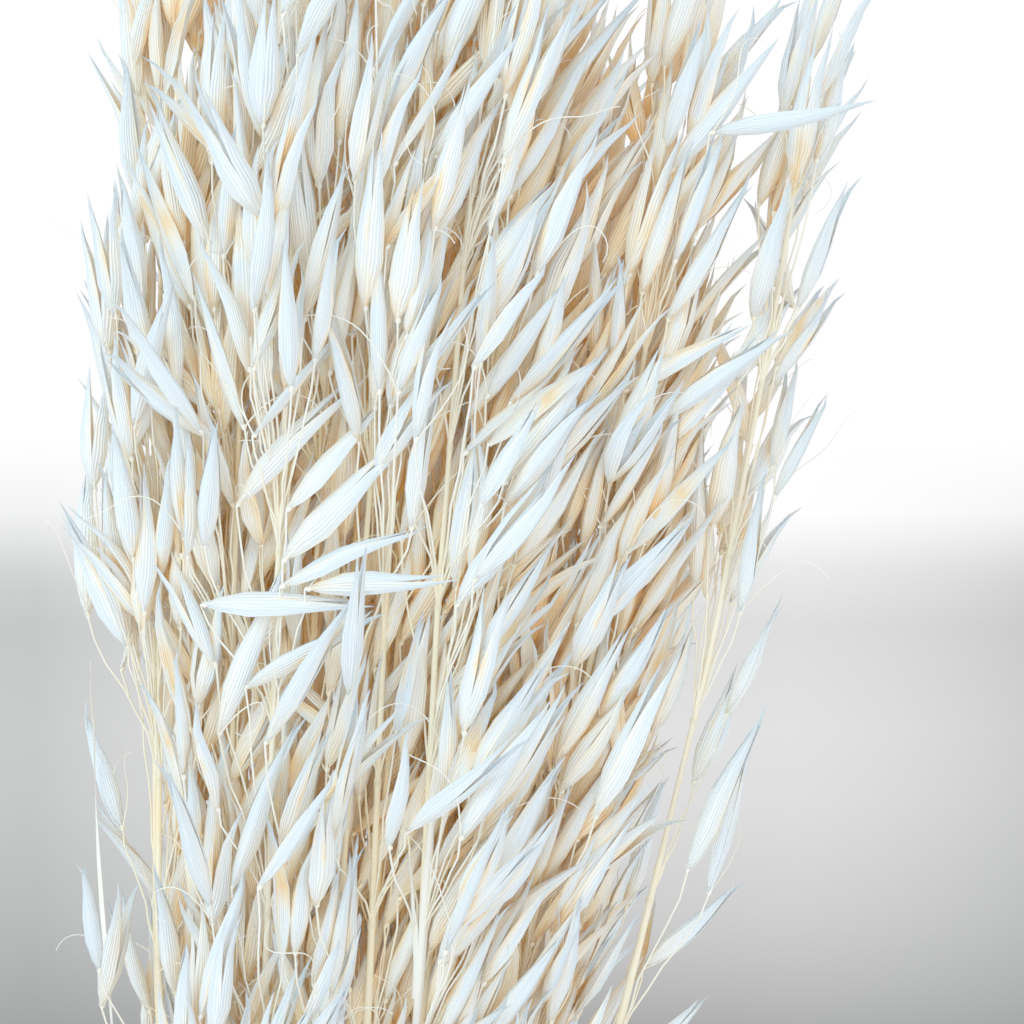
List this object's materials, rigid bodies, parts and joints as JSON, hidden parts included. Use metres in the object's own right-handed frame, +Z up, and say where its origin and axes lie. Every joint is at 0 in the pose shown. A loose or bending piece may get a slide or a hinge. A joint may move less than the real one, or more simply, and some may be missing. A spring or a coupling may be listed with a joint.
{
  "type": "bundle of dried oats",
  "caption": "Bundle of bleached dried oat stalks with full, drooping husked heads, tied low with twine, lying on its side as a decorative dried bunch.",
  "frame": {"origin": "on the surface that the bundle lies on, under the middle of its box", "axes": "+Y along the stalks towards their heads, +X across the bundle, +Z up"},
  "size_m": [0.1544, 0.6542, 0.099],
  "materials": {
    "straw": "matt bleached straw, paler and cooler at the husk tips, warm tan deep inside the heads",
    "twine": "matt natural twine"
  },
  "bodies": {
    "root": {"oat_stalk_01": "straw", "oat_stalk_02": "straw", "oat_stalk_03": "straw", "oat_stalk_04": "straw", "oat_stalk_05": "straw", "oat_stalk_06": "straw", "oat_stalk_07": "straw", "oat_stalk_08": "straw", "oat_stalk_09": "straw", "oat_stalk_10": "straw", "oat_stalk_11": "straw", "oat_stalk_12": "straw", "oat_stalk_13": "straw", "oat_stalk_14": "straw", "oat_stalk_15": "straw", "oat_stalk_16": "straw", "oat_stalk_17": "straw", "oat_stalk_18": "straw", "oat_stalk_19": "straw", "oat_stalk_20": "straw", "oat_stalk_21": "straw", "oat_stalk_22": "straw", "oat_stalk_23": "straw", "oat_stalk_24": "straw", "oat_stalk_25": "straw", "oat_stalk_26": "straw", "oat_stalk_27": "straw", "oat_stalk_28": "straw", "oat_stalk_29": "straw", "oat_stalk_30": "straw", "oat_stalk_31": "straw", "oat_stalk_32": "straw", "oat_stalk_33": "straw", "oat_stalk_34": "straw", "oat_stalk_35": "straw", "oat_stalk_36": "straw", "oat_stalk_37": "straw", "oat_stalk_38": "straw", "oat_stalk_39": "straw", "oat_stalk_40": "straw", "oat_stalk_41": "straw", "oat_stalk_42": "straw", "oat_stalk_43": "straw", "oat_stalk_44": "straw", "tie": "twine"}
  },
  "joints": []
}
